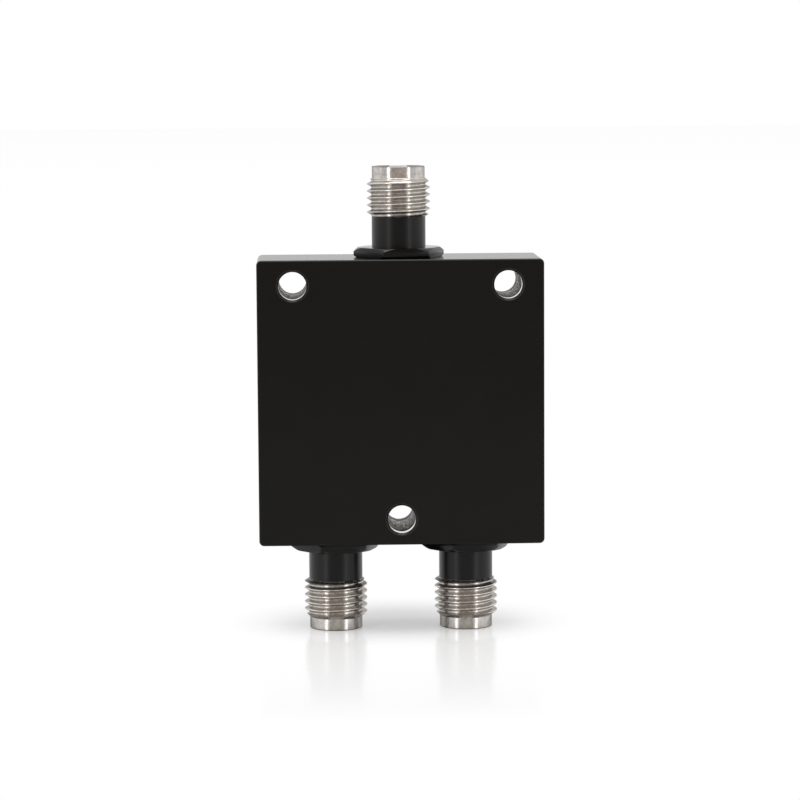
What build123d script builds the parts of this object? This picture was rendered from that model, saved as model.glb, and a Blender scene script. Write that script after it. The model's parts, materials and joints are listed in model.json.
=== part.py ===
"""Two-way coaxial power divider: a milled housing with one input and two output connectors.

The part stands on the noses of its two lower connectors. Its origin is on that surface, below
the middle of the housing. +X is to the right, +Y runs from the plain front face to the back
cover, and +Z points up, along the input connector. All sizes are in millimetres.
"""
from build123d import *
import math
import os

# Housing and its back cover
housing_width = 28.5
housing_height = 28.5
housing_depth = 10.0
corner_radius = 0.5
edge_break = 0.1
end_wall = 5.0
side_wall = 5.25
pocket_radius = 1.0
cover_thickness = 1.5
cover_clearance = 0.1
cover_corner_radius = 1.5
rim_end = 4.4
rim_side = 1.2

# Mounting holes: two at the top corners and one at the middle of the bottom edge
mounting_radius = 1.4
mounting_edge_break = 0.175
mounting_side_offset = 3.55
mounting_end_offset = 2.55

# Connectors: one on the top face, two on the bottom face
output_offset = 6.6
hex_across_flats = 8.0
hex_height = 1.0
input_hex_turn = 8.5
output_hex_turn = 11.0
hex_face_outset = 0.12
hex_seat_outset = 0.32
hex_chamfer_angle = 38.0
barrel_radius = 2.7
barrel_length = 3.05
thread_radius = 3.175
thread_length = 3.9
thread_start_slope = 0.3
thread_end_slope = 0.45
nose_radius = 2.65
nose_length = 1.15
nose_chamfer = 0.06
spigot_radius = 2.95
spigot_clearance = 0.03
socket_radius = 2.3
socket_depth = 1.93

# Insulator and centre contact inside each connector
insulator_radius = 2.05
insulator_clearance = 0.01
contact_radius = 0.635
contact_clearance = 0.01
contact_recess = 0.1
contact_bore_radius = 0.47
contact_bore_depth = 3.0
contact_slot_width = 0.15
contact_slot_depth = 2.2
lead_radius = 0.45
lead_length = 1.6

# Circuit board with its copper pattern
board_thickness = 0.76
board_clearance = 0.15
board_corner = 1.0
copper_thickness = 0.07
line_width = 1.7
line_mitre = 1.0
arm_width = 0.8
arm_gap = 0.5
ring_radius = 1.9
ring_count = 3
input_line_length = 2.2

# Chip resistors across the gap between the two arms
resistor_length = 1.0
resistor_width = 0.5
resistor_height = 0.35

# Absorber pad glued inside the cover
absorber_width = 14.0
absorber_height = 12.0
absorber_thickness = 1.0

# Screws: countersunk in the cover, cheese head on the board
screw_radius = 0.8
screw_fit = 0.02
screw_hole_clearance = 0.1
tap_reserve = 0.4
cover_screw_head_radius = 1.4
cover_screw_sink = 0.03
cover_screw_length = 4.0
cover_screw_edge = 1.85
board_screw_head_radius = 1.25
board_screw_head_height = 0.9
board_screw_length = 2.9
board_screw_side = 3.4
recess_span = 1.5
recess_width = 0.36
recess_depth = 0.45

# Places that follow from the sizes above
connector_length = hex_height + barrel_length + thread_length + nose_length
bottom_z = connector_length
top_z = bottom_z + housing_height
middle_z = bottom_z + housing_height / 2
front_y = -housing_depth / 2
back_y = housing_depth / 2
cover_y = back_y - cover_thickness
copper_y = -lead_radius
board_y = copper_y - copper_thickness
floor_y = board_y - board_thickness
pocket_width = housing_width - 2 * side_wall
pocket_height = housing_height - 2 * end_wall
cover_recess_width = housing_width - 2 * rim_side
cover_recess_height = housing_height - 2 * rim_end
cover_width = cover_recess_width - 2 * cover_clearance
cover_height = cover_recess_height - 2 * cover_clearance
board_top_z = top_z - end_wall - board_clearance
board_bottom_z = bottom_z + end_wall + board_clearance
mounting_x = housing_width / 2 - mounting_side_offset
cover_screw_x = cover_width / 2 - cover_screw_edge
cover_screw_rise = cover_height / 2 - cover_screw_edge
board_screw_x = pocket_width / 2 - board_screw_side

first_ring_z = board_top_z - input_line_length - ring_radius
ring_heights = [first_ring_z - 2 * ring * ring_radius for ring in range(ring_count)]
joint_heights = [height - ring_radius for height in ring_heights]
crossbar_z = joint_heights[-1] + (arm_width - line_width) / 2

mounting_points = [
    (-mounting_x, top_z - mounting_end_offset),
    (mounting_x, top_z - mounting_end_offset),
    (0, bottom_z + mounting_end_offset),
]
cover_screw_points = [
    (-cover_screw_x, middle_z + cover_screw_rise),
    (cover_screw_x, middle_z + cover_screw_rise),
    (-cover_screw_x, middle_z - cover_screw_rise),
    (cover_screw_x, middle_z - cover_screw_rise),
]
board_screw_points = [
    (-board_screw_x, joint_heights[0]),
    (board_screw_x, joint_heights[0]),
]

# Each port is the seat of one connector: its origin on the wall, its Z axis pointing outwards
ports = {
    "input": Plane(origin=(0, 0, top_z), x_dir=(1, 0, 0), z_dir=(0, 0, 1)),
    "output_1": Plane(origin=(-output_offset, 0, bottom_z), x_dir=(1, 0, 0), z_dir=(0, 0, -1)),
    "output_2": Plane(origin=(output_offset, 0, bottom_z), x_dir=(1, 0, 0), z_dir=(0, 0, -1)),
}

parts = {}


def upright(y):
    """Plane facing the front at this depth, with X to the right and Z up."""
    return Plane(origin=(0, y, 0), x_dir=(1, 0, 0), z_dir=(0, -1, 0))


def at_point(y, point, facing=1):
    """Plane at a point of an upright plane, facing the back (1) or the front (-1)."""
    return Plane(origin=(point[0], y, point[1]), x_dir=(-facing, 0, 0), z_dir=(0, facing, 0))


def radial(seat):
    """Plane through a seat's axis: X is the radius and Y the distance out from the seat."""
    return Plane(origin=seat.origin, x_dir=seat.x_dir, z_dir=-seat.y_dir)


def axis_of(seat):
    """Axis of what is turned about a seat."""
    return Axis(seat.origin, seat.z_dir)


def cross_recess(plane):
    """Outline of the cross-shaped driver recess in a screw head."""
    with BuildSketch(plane) as cross:
        Rectangle(recess_span, recess_width)
        Rectangle(recess_width, recess_span)
    return cross.sketch


# Housing: solid at the front, with a pocket from the back and a shallow recess for its cover
with BuildPart() as housing:
    with BuildSketch(upright(back_y)):
        with Locations((0, middle_z)):
            RectangleRounded(housing_width, housing_height, corner_radius)
    extrude(amount=housing_depth)
    chamfer(housing.faces().filter_by(Axis.Y).edges(), edge_break)
    with BuildSketch(upright(back_y)):
        with Locations((0, middle_z)):
            RectangleRounded(cover_recess_width, cover_recess_height, cover_corner_radius)
    extrude(amount=cover_thickness, mode=Mode.SUBTRACT)
    with BuildSketch(upright(cover_y)):
        with Locations((0, middle_z)):
            RectangleRounded(pocket_width, pocket_height, pocket_radius)
    extrude(amount=cover_y - floor_y, mode=Mode.SUBTRACT)
    with Locations(*[port.location for port in ports.values()]):
        Hole(spigot_radius + spigot_clearance, depth=end_wall)
    with Locations(*[at_point(front_y, point, -1).location for point in mounting_points]):
        CounterSinkHole(
            mounting_radius, mounting_radius + mounting_edge_break, counter_sink_angle=90
        )
    with Locations(*[at_point(cover_y, point).location for point in cover_screw_points]):
        Hole(screw_radius + screw_fit, depth=cover_screw_length - cover_thickness + tap_reserve)
    with Locations(*[at_point(floor_y, point).location for point in board_screw_points]):
        Hole(screw_radius + screw_fit, depth=board_screw_length - board_thickness + tap_reserve)
parts["housing"] = housing

# Back cover: a plate let into the recess, flush with the back, with countersunk screw holes
with BuildPart() as back_cover:
    with BuildSketch(upright(back_y)):
        with Locations((0, middle_z)):
            RectangleRounded(cover_width, cover_height, cover_corner_radius)
    extrude(amount=cover_thickness)
    with Locations(*[at_point(back_y, point).location for point in cover_screw_points]):
        CounterSinkHole(
            screw_radius + screw_hole_clearance,
            cover_screw_head_radius + cover_screw_sink,
            counter_sink_angle=90,
        )
parts["back_cover"] = back_cover

# Absorber pad: a soft sheet on the inner face of the cover
with BuildPart() as absorber_pad:
    with BuildSketch(upright(cover_y)):
        with Locations((0, middle_z)):
            Rectangle(absorber_width, absorber_height)
    extrude(amount=absorber_thickness)
parts["absorber_pad"] = absorber_pad

# Circuit board: on the pocket's floor, with a clearance all round
with BuildPart() as circuit_board:
    with BuildSketch(upright(board_y)):
        with Locations((0, middle_z)):
            Rectangle(pocket_width - 2 * board_clearance, pocket_height - 2 * board_clearance)
    extrude(amount=board_thickness)
    chamfer(circuit_board.edges().filter_by(Axis.Y), board_corner)
    with Locations(*[at_point(board_y, point).location for point in board_screw_points]):
        Hole(screw_radius + screw_hole_clearance)
parts["circuit_board"] = circuit_board

# Copper pattern: an input line, a chain of rings slit into two arms, and two output lines
with BuildPart() as divider_trace:
    line_inner_x = output_offset - line_width / 2
    line_outer_x = output_offset + line_width / 2
    crossbar_top_z = crossbar_z + line_width / 2
    crossbar_bottom_z = crossbar_z - line_width / 2
    with BuildSketch(upright(copper_y)) as copper:
        with Locations(*[(0, height) for height in ring_heights]):
            Circle(ring_radius + arm_width / 2)
        with Locations((0, first_ring_z)):
            Rectangle(line_width, board_top_z - first_ring_z, align=(Align.CENTER, Align.MIN))
        with BuildLine():
            Polyline(
                (0, crossbar_top_z),
                (line_outer_x - line_mitre, crossbar_top_z),
                (line_outer_x, crossbar_top_z - line_mitre),
                (line_outer_x, board_bottom_z),
                (line_inner_x, board_bottom_z),
                (line_inner_x, crossbar_bottom_z),
                (0, crossbar_bottom_z),
                close=True,
            )
        make_face()
        mirror(about=Plane.YZ)
        with Locations(*[(0, height) for height in ring_heights]):
            Circle(ring_radius - arm_width / 2, mode=Mode.SUBTRACT)
        with Locations(*[(0, height) for height in joint_heights]):
            Rectangle(arm_gap, 2 * line_width, mode=Mode.SUBTRACT)
    extrude(amount=copper_thickness)
parts["divider_trace"] = divider_trace

# One chip resistor at each joint of the rings
for number, height in enumerate(joint_heights, start=1):
    with BuildPart() as isolation_resistor:
        with BuildSketch(upright(copper_y)):
            with Locations((0, height)):
                Rectangle(resistor_length, resistor_width)
        extrude(amount=-resistor_height)
    parts[f"isolation_resistor_{number}"] = isolation_resistor

# Countersunk screws in the cover, their heads flush with its face
for number, point in enumerate(cover_screw_points, start=1):
    seat = at_point(back_y, point)
    with BuildPart() as cover_screw:
        with BuildSketch(radial(seat)):
            with BuildLine():
                Polyline(
                    (0, 0),
                    (cover_screw_head_radius, 0),
                    (screw_radius, screw_radius - cover_screw_head_radius),
                    (screw_radius, -cover_screw_length),
                    (0, -cover_screw_length),
                    close=True,
                )
            make_face()
        revolve(axis=axis_of(seat))
        extrude(cross_recess(seat), amount=-recess_depth, mode=Mode.SUBTRACT)
    parts[f"cover_screw_{number}"] = cover_screw

# Cheese-head screws that hold the board to the pocket's floor
for number, point in enumerate(board_screw_points, start=1):
    seat = at_point(board_y, point)
    with BuildPart() as board_screw:
        with BuildSketch(radial(seat)):
            with BuildLine():
                Polyline(
                    (0, board_screw_head_height),
                    (board_screw_head_radius, board_screw_head_height),
                    (board_screw_head_radius, 0),
                    (screw_radius, 0),
                    (screw_radius, -board_screw_length),
                    (0, -board_screw_length),
                    close=True,
                )
            make_face()
        revolve(axis=axis_of(seat))
        extrude(
            cross_recess(seat.offset(board_screw_head_height)),
            amount=-recess_depth,
            mode=Mode.SUBTRACT,
        )
    parts[f"board_screw_{number}"] = board_screw

# Connectors: the same three pieces at each port
hex_corner = hex_across_flats / 2 / math.cos(math.pi / 6)
hex_face = hex_across_flats / 2 + hex_face_outset
hex_seat = hex_across_flats / 2 + hex_seat_outset
hex_slope = math.tan(math.radians(hex_chamfer_angle))
hex_face_chamfer = (hex_corner - hex_face) * hex_slope
hex_seat_chamfer = (hex_corner - hex_seat) * hex_slope
barrel_end = hex_height + barrel_length
thread_end = barrel_end + thread_length
reference_plane = connector_length - socket_depth
contact_end = reference_plane - contact_recess
insulator_bore = insulator_radius + insulator_clearance

for port_name, port in ports.items():
    # Shell: hex, barrel, thread and nose turned from one bar, with a spigot in the wall
    hex_turn = input_hex_turn if port_name == "input" else output_hex_turn
    with BuildPart() as shell:
        with BuildSketch(port):
            RegularPolygon(
                hex_across_flats / 2, 6, major_radius=False, rotation=port.y_dir.Y * hex_turn
            )
        extrude(amount=hex_height)
        with BuildSketch(radial(port)):
            with BuildLine():
                Polyline(
                    (0, 0),
                    (hex_seat, 0),
                    (hex_corner, hex_seat_chamfer),
                    (hex_corner, hex_height - hex_face_chamfer),
                    (hex_face, hex_height),
                    (0, hex_height),
                    close=True,
                )
            make_face()
        revolve(axis=axis_of(port), mode=Mode.INTERSECT)
        with BuildSketch(radial(port)):
            with BuildLine():
                Polyline(
                    (0, -end_wall),
                    (spigot_radius, -end_wall),
                    (spigot_radius, 0),
                    (barrel_radius, 0),
                    (barrel_radius, barrel_end),
                    (thread_radius, barrel_end + thread_start_slope),
                    (thread_radius, thread_end - thread_end_slope),
                    (nose_radius, thread_end),
                    (nose_radius, connector_length - nose_chamfer),
                    (nose_radius - nose_chamfer, connector_length),
                    (0, connector_length),
                    close=True,
                )
            make_face()
        revolve(axis=axis_of(port))
        with BuildSketch(radial(port)):
            with BuildLine():
                Polyline(
                    (0, -end_wall),
                    (insulator_bore, -end_wall),
                    (insulator_bore, reference_plane),
                    (socket_radius, reference_plane),
                    (socket_radius, connector_length),
                    (0, connector_length),
                    close=True,
                )
            make_face()
        revolve(axis=axis_of(port), mode=Mode.SUBTRACT)
    parts[f"{port_name}_shell"] = shell

    # Insulator: a tube from the inner wall to the reference plane in the socket
    with BuildPart() as insulator:
        with BuildSketch(port.offset(-end_wall)):
            Circle(insulator_radius)
            Circle(contact_radius + contact_clearance, mode=Mode.SUBTRACT)
        extrude(amount=end_wall + reference_plane)
    parts[f"{port_name}_insulator"] = insulator

    # Centre contact: a slotted socket in front, a thinner lead on the copper behind
    with BuildPart() as contact:
        with BuildSketch(radial(port)):
            with BuildLine():
                Polyline(
                    (0, -end_wall - lead_length),
                    (lead_radius, -end_wall - lead_length),
                    (lead_radius, -end_wall),
                    (contact_radius, -end_wall),
                    (contact_radius, contact_end),
                    (contact_bore_radius, contact_end),
                    (contact_bore_radius, contact_end - contact_bore_depth),
                    (0, contact_end - contact_bore_depth),
                    close=True,
                )
            make_face()
        revolve(axis=axis_of(port))
        with BuildSketch(port.offset(contact_end)):
            Rectangle(3 * contact_radius, contact_slot_width)
            Rectangle(contact_slot_width, 3 * contact_radius)
        extrude(amount=-contact_slot_depth, mode=Mode.SUBTRACT)
    parts[f"{port_name}_contact"] = contact

os.makedirs("parts", exist_ok=True)
for name, piece in parts.items():
    piece.part.label = name
    export_step(piece.part, f"parts/{name}.step")
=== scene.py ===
import json
import math

import bpy
from bpy.props import FloatProperty, FloatVectorProperty, PointerProperty
from mathutils import Matrix, Vector


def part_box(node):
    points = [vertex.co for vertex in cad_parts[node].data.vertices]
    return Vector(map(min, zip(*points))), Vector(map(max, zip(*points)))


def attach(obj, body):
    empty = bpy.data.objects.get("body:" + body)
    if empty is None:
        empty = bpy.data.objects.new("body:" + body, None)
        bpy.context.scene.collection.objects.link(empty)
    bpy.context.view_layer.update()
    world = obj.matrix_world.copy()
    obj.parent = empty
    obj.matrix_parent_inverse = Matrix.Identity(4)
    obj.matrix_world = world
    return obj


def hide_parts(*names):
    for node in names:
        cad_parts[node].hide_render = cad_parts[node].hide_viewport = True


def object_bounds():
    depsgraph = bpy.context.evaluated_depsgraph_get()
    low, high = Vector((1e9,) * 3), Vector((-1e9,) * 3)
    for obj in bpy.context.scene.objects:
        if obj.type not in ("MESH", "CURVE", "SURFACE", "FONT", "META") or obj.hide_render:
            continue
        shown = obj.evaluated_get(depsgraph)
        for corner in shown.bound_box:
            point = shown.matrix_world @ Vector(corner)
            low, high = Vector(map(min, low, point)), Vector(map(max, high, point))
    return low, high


bl_info = {
    "name": "Coaxial Power Divider",
    "version": (1, 0, 0),
    "blender": (4, 5, 0),
    "location": "3D View > Sidebar > Divider",
    "description": "Models the divider's connectors and gives every piece its finish",
    "category": "Object",
}

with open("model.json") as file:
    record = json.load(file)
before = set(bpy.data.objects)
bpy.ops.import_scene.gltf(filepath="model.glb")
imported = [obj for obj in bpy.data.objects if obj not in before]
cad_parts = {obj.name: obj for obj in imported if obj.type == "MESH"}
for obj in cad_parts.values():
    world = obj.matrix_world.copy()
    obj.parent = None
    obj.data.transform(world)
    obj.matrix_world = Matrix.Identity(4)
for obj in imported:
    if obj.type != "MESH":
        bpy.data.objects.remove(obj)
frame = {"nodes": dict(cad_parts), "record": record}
cad_low, cad_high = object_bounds()
housing_low, housing_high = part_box("housing")

PORTS = ("input", "output_1", "output_2")
RING_SIDES = 96
THREAD_STEPS = 96
MILLIMETRE = 0.001
MICRON = 0.000001


def length(name, description, default):
    """A size in metres that a user may change."""
    return FloatProperty(
        name=name, description=description, default=default, min=0.0, precision=6, unit="LENGTH"
    )


def colour(name, description, default):
    """A linear colour that a user may change."""
    return FloatVectorProperty(
        name=name, description=description, default=default, min=0.0, max=1.0, subtype="COLOR"
    )


def share(name, description, default):
    """A number from 0 to 1 that a user may change."""
    return FloatProperty(
        name=name, description=description, default=default, min=0.0, max=1.0, subtype="FACTOR"
    )


def angle(name, description, default):
    """An angle in radians that a user may change."""
    return FloatProperty(name=name, description=description, default=default, subtype="ANGLE")


# ---------------------------------------------------------------- sizes and colours


class DIVIDER_PG_connector(bpy.types.PropertyGroup):
    """Sizes of one connector body, measured outwards from the wall it sits on."""

    hex_across_flats: length("Hexagon", "Width of the hexagon across its flats", 0.008)
    hex_height: length("Hexagon Height", "Height of the hexagon", 0.001)
    hex_outset: length("Hexagon Outset", "How far its round top reaches past the flats", 0.00012)
    seat_outset: length("Seat Outset", "How far its round seat reaches past the flats", 0.00032)
    hex_chamfer: angle("Hexagon Chamfer", "Slope of its turned corners", math.radians(38))
    hex_bevel: length("Hexagon Edge", "Width of the soft edge on the painted hexagon", 0.00004)
    input_turn: angle("Input Turn", "Turn of the upper hexagon seen from above", math.radians(8.5))
    output_turn: angle("Output Turn", "Turn of the lower hexagons seen from above", math.radians(11))
    barrel_radius: length("Barrel", "Radius of the barrel", 0.0027)
    barrel_length: length("Barrel Length", "Length of the barrel", 0.00305)
    thread_radius: length("Thread Crest", "Radius over the thread's crests", 0.003175)
    thread_pitch: length("Thread Pitch", "Distance from crest to crest", 0.0254 / 36)
    crest_round: length("Crest Round", "Radius of the rounding on each crest", 0.000055)
    root_round: length("Root Round", "Radius of the rounding in each groove", 0.0001)
    thread_length: length("Thread Length", "Length of the threaded part", 0.0039)
    thread_start_slope: length("Thread Start", "Length of the slope next to the barrel", 0.0003)
    thread_end_slope: length("Thread End", "Length of the slope next to the nose", 0.00045)
    nose_radius: length("Nose", "Radius of the plain nose", 0.00265)
    nose_length: length("Nose Length", "Length of the plain nose", 0.00115)
    nose_chamfer: length("Nose Chamfer", "Width of the chamfer on the nose's rim", 0.00006)
    socket_radius: length("Socket", "Radius of the socket", 0.0023)
    socket_depth: length("Socket Depth", "Depth of the socket", 0.00193)
    socket_chamfer: length("Socket Chamfer", "Width of the chamfer inside the rim", 0.00006)
    insulator_bore: length("Insulator Bore", "Radius of the bore for the insulator", 0.00206)
    spigot_radius: length("Spigot", "Radius of the spigot in the wall", 0.00295)
    spigot_length: length("Spigot Length", "Length of the spigot in the wall", 0.005)


class DIVIDER_PG_finish(bpy.types.PropertyGroup):
    """Colours and finishes of the pieces."""

    paint: colour("Paint", "Matt black paint of the housing", (0.0039, 0.0037, 0.0034))
    paint_roughness: share("Paint Roughness", "Roughness of the matt paint", 0.21)
    paint_grain: length("Paint Grain", "Size of the fine grain in the paint", 0.00009)
    satin: colour("Satin Paint", "Black paint on the hexagons and barrels", (0.0024, 0.0024, 0.0026))
    satin_roughness: share("Barrel Roughness", "Roughness of the paint on the barrels", 0.30)
    hexagon_roughness: share("Hexagon Roughness", "Roughness of the paint on the hexagons", 0.14)
    # This grey is a painted highlight on the ring round each hole, and the colour of the dust specks.
    rim_highlight_and_dust_grey: colour("Edge Grey", "Paint worn thin around the holes", (0.060, 0.058, 0.054))
    bare_metal: colour("Bare Metal", "Drilled aluminium in the holes", (0.80, 0.77, 0.73))
    # This colour is the polished ring in the holes, partly a painted highlight of their front edge, and the
    # painted highlight on the thread's crests.
    polish_and_crest_highlight: colour("Bright Metal", "Polished metal at the front of the holes", (0.93, 0.92, 0.89))
    steel: colour("Steel", "Turned stainless steel", (0.738, 0.703, 0.667))
    # This colour is the darker streaks in the steel, and the painted shade in the thread's grooves.
    steel_streak_and_groove_shade: colour("Steel Shade", "Darker streaks in the turned steel", (0.52, 0.485, 0.45))
    steel_edge: colour("Steel Edge", "Tint of the steel seen at a glancing angle", (0.57, 0.56, 0.55))
    steel_roughness: share("Steel Roughness", "Roughness of the turned steel", 0.15)
    screw: colour("Screw", "Stainless screws", (0.50, 0.49, 0.48))
    gold: colour("Gold", "Plating of the centre contacts", (0.83, 0.58, 0.24))
    insulator: colour("Insulator", "White plastic of the insulators", (0.82, 0.81, 0.78))
    laminate: colour("Laminate", "Woven board", (0.62, 0.58, 0.44))
    laminate_thread: colour("Laminate Thread", "Glass threads in the board", (0.74, 0.71, 0.58))
    copper: colour("Copper", "Copper pattern", (0.78, 0.44, 0.26))
    copper_dull: colour("Dull Copper", "Copper where it has darkened", (0.52, 0.27, 0.15))
    resistor: colour("Resistor", "Dark glaze of the chip resistors", (0.020, 0.020, 0.022))
    solder: colour("Terminations", "Tinned ends of the chip resistors", (0.62, 0.62, 0.60))
    absorber: colour("Absorber", "Dark rubber sheet in the cover", (0.030, 0.030, 0.032))


class DIVIDER_PG_stage(bpy.types.PropertyGroup):
    """Floor, lamps and camera."""

    floor: colour("Floor", "Pale floor", (0.93, 0.93, 0.935))
    shadow_width: length("Shadow Width", "Distance to each side at which the shadow fades", 0.0122)
    shadow_depth: length("Shadow Depth", "Distance in front and behind at which it fades", 0.0095)
    shade_width: length("Shade Width", "The same to each side, as the metal sees it", 0.0195)
    shadow_lift: share("Shadow Lift", "Share of plain white in the middle of the shadow", 0.28)
    shadow_centre: length("Shadow Centre", "How far behind the origin the shadow lies", 0.003)
    gloss: share("Floor Gloss", "Strength of the feet's reflection in the floor", 0.30)
    gloss_reach: length("Gloss Reach", "Distance in front at which the reflection ends", 0.045)
    gloss_roughness: share("Gloss Roughness", "Blur of the reflection in the floor", 0.14)
    floor_roughness: share("Floor Roughness", "Roughness of the floor", 0.50)
    floor_size: length("Floor Size", "Width of the floor", 6.0)
    room: share("Room Light", "Level of the light from all round", 0.60)
    top_power: FloatProperty(
        name="Top Lamp Power", description="Power of the lamp overhead", default=1.2, min=0.0, unit="POWER"
    )
    top_height: length("Top Lamp Height", "Height of the lamp overhead", 0.60)
    top_size: length("Top Lamp Size", "Width of the lamp overhead", 0.40)
    lamp_power: FloatProperty(
        name="Lamp Power", description="Power of each tall lamp", default=0.60, min=0.0, unit="POWER"
    )
    lamp_angle: angle("Lamp Angle", "Place of each lamp beside the camera", math.radians(45))
    lamp_distance: length("Lamp Distance", "Distance from the object to each lamp", 0.60)
    lamp_width: length("Lamp Width", "Width of each tall lamp", 0.10)
    lamp_height: length("Lamp Height", "Height of each tall lamp", 0.90)
    screen_tone: colour("Screen", "Dim surroundings on the camera's side", (0.27, 0.23, 0.19))
    screen_foot: colour("Screen Foot", "The lighter foot of the screen", (0.515, 0.468, 0.43))
    screen_foot_height: length("Screen Foot Height", "Height up to which the foot reaches", 0.06)
    screen_width: length("Screen Width", "Width of the screen behind the camera", 0.70)
    screen_height: length("Screen Height", "Height of the screen behind the camera", 1.0)
    screen_distance: length("Screen Distance", "Distance to the screen", 0.55)
    table_mirror: share("Table Mirror", "Share of a mirror in the floor as the metal sees it", 0.54)
    table_blur: share("Table Blur", "Blur of that mirror", 0.08)
    table_tone: colour("Table Tone", "The floor's matt share as the metal sees it", (0.87, 0.87, 0.87))
    table_shade: share("Table Shade", "Level of the table in the shadow, as the metal sees it", 0.61)
    table_far: share("Table Far End", "Level of the table far in front, as the metal sees it", 0.45)
    camera_place: FloatVectorProperty(
        name="Camera", description="Where the camera stands",
        default=(-0.0095, -0.2968, 0.05554), precision=5, subtype="TRANSLATION",
    )
    camera_yaw: angle("Camera Yaw", "Turn of the camera to the right", 0.0321)
    camera_pitch: angle("Camera Pitch", "Tilt of the camera downwards", 0.1088)
    camera_roll: angle("Camera Roll", "Roll of the camera", -0.0065)
    camera_lens: FloatProperty(
        name="Lens", description="Focal length in millimetres on a 36 mm sensor", default=133.07, min=1.0
    )


# ---------------------------------------------------------------- modelling helpers


def deselect_all():
    """Leave edit mode and deselect everything, so that an operator acts on its own piece alone."""
    if bpy.context.object and bpy.context.object.mode == "EDIT":
        bpy.ops.object.mode_set(mode="OBJECT")
    bpy.ops.object.select_all(action="DESELECT")


def pick(piece):
    """Make a piece the only selected one and the active one."""
    deselect_all()
    piece.select_set(True)
    bpy.context.view_layer.objects.active = piece


def apply_place(piece):
    """Move a piece's place, turn and scale into its mesh."""
    pick(piece)
    bpy.ops.object.transform_apply(location=True, rotation=True, scale=True)


def outward(piece):
    """Merge doubled points and turn all faces outwards."""
    pick(piece)
    bpy.ops.object.mode_set(mode="EDIT")
    bpy.ops.mesh.select_all(action="SELECT")
    bpy.ops.mesh.remove_doubles(threshold=0.1 * MICRON)
    bpy.ops.mesh.normals_make_consistent(inside=False)
    bpy.ops.object.mode_set(mode="OBJECT")


def turned(name, profile, sides=RING_SIDES):
    """A closed turned solid: a disc extruded and resized along a profile of (radius, height)."""
    deselect_all()
    radius, height = profile[0]
    bpy.ops.mesh.primitive_circle_add(
        vertices=sides, radius=radius, fill_type="NGON", location=(0, 0, height)
    )
    piece = bpy.context.object
    piece.name = name
    apply_place(piece)
    bpy.ops.object.mode_set(mode="EDIT")
    bpy.ops.mesh.select_all(action="SELECT")
    for next_radius, next_height in profile[1:]:
        bpy.ops.mesh.extrude_region_move(
            TRANSFORM_OT_translate={"value": (0, 0, next_height - height)}
        )
        scale = next_radius / radius
        bpy.ops.transform.resize(value=(scale, scale, 1), center_override=(0, 0, next_height))
        radius, height = next_radius, next_height
    bpy.ops.object.mode_set(mode="OBJECT")
    outward(piece)
    return piece


def combined(piece, other, operation):
    """Join, cut or trim a piece with another one, which is used up."""
    pick(piece)
    modifier = piece.modifiers.new(operation.title(), "BOOLEAN")
    modifier.operation = operation
    modifier.solver = "EXACT"
    modifier.object = other
    bpy.ops.object.modifier_apply(modifier=modifier.name)
    bpy.data.objects.remove(other)
    return piece


def copied(piece, name, turn=0.0):
    """A copy with its own mesh, turned about the connector's axis."""
    copy = piece.copy()
    copy.data = piece.data.copy()
    copy.name = name
    copy.rotation_euler = (0, 0, turn)
    bpy.context.scene.collection.objects.link(copy)
    apply_place(copy)
    return copy


def rounded_edges(piece, width, limit):
    """Soften every edge sharper than the limit."""
    pick(piece)
    modifier = piece.modifiers.new("Soft Edges", "BEVEL")
    modifier.width = width
    modifier.segments = 2
    modifier.limit_method = "ANGLE"
    modifier.angle_limit = limit
    modifier.use_clamp_overlap = True
    bpy.ops.object.modifier_apply(modifier=modifier.name)


def smooth_shaded(piece, limit=math.radians(28)):
    """Shade a piece smooth, except across sharp edges."""
    pick(piece)
    bpy.ops.object.shade_smooth_by_angle(angle=limit)


# ---------------------------------------------------------------- connector modelling


def hexagon_blank(sizes):
    """Hexagon with its corners turned off on both sides."""
    corner = sizes.hex_across_flats / 2 / math.cos(math.pi / 6)
    deselect_all()
    bpy.ops.mesh.primitive_circle_add(vertices=6, radius=corner, fill_type="NGON")
    hexagon = bpy.context.object
    hexagon.name = "hexagon"
    hexagon.rotation_euler = (0, 0, -math.pi / 6)
    apply_place(hexagon)
    bpy.ops.object.mode_set(mode="EDIT")
    bpy.ops.mesh.select_all(action="SELECT")
    bpy.ops.mesh.extrude_region_move(TRANSFORM_OT_translate={"value": (0, 0, sizes.hex_height)})
    bpy.ops.object.mode_set(mode="OBJECT")
    outward(hexagon)
    face = sizes.hex_across_flats / 2 + sizes.hex_outset
    seat = sizes.hex_across_flats / 2 + sizes.seat_outset
    beyond = corner + sizes.hex_outset
    slope = math.tan(sizes.hex_chamfer)
    limits = turned(
        "hexagon_limits",
        [
            (seat, 0),
            (beyond, (beyond - seat) * slope),
            (beyond, sizes.hex_height - (beyond - face) * slope),
            (face, sizes.hex_height),
        ],
    )
    # Half a step of turn puts the middle of a facet, not a ridge, over each corner
    limits.rotation_euler = (0, 0, math.pi / RING_SIDES)
    apply_place(limits)
    combined(hexagon, limits, "INTERSECT")
    rounded_edges(hexagon, sizes.hex_bevel, math.radians(20))
    return hexagon


def thread_outline(sizes):
    """Rounded 60 degree profile of one turn, as (radius, height), with its crest at height 0."""
    pitch, crest, root = sizes.thread_pitch, sizes.crest_round, sizes.root_round
    sharp_crest = sizes.thread_radius + crest
    sharp_root = sharp_crest - pitch / 2 / math.tan(math.pi / 6)
    groove = []
    for turn in (0, 20, 40, 60):
        bend = math.radians(turn)
        groove.append((sharp_root + 2 * root - root * math.cos(bend), root * math.sin(bend)))
    top = []
    for turn in (-60, -36, -12, 12, 36, 60):
        bend = math.radians(turn)
        top.append((sharp_crest - 2 * crest + crest * math.cos(bend), crest * math.sin(bend)))
    below = [(radius, rise - pitch / 2) for radius, rise in groove]
    above = [(radius, pitch / 2 - rise) for radius, rise in reversed(groove)]
    return below + top + above


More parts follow.
